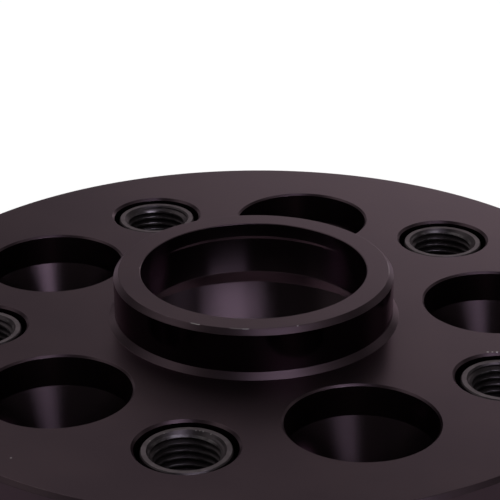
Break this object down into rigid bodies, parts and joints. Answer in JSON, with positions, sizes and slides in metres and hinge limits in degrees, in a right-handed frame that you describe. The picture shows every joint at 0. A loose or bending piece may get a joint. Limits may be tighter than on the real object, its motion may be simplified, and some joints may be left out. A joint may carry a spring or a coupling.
{
  "type": "wheel spacer",
  "caption": "Round bolt-on wheel adapter spacer with a raised centring lip, countersunk bolt holes and threaded steel inserts.",
  "frame": {"origin": "centre of the hub face", "axes": "+Z along the axle towards the wheel; +X through the first bolt hole"},
  "size_m": [0.1584, 0.1584, 0.035],
  "materials": {
    "anodised": "black anodised, fine turned",
    "insert_steel": "dark phosphated"
  },
  "bodies": {
    "root": {"spacer_disc": "anodised", "threaded_insert_1": "insert_steel", "threaded_insert_2": "insert_steel", "threaded_insert_3": "insert_steel", "threaded_insert_4": "insert_steel", "threaded_insert_5": "insert_steel"}
  },
  "joints": []
}
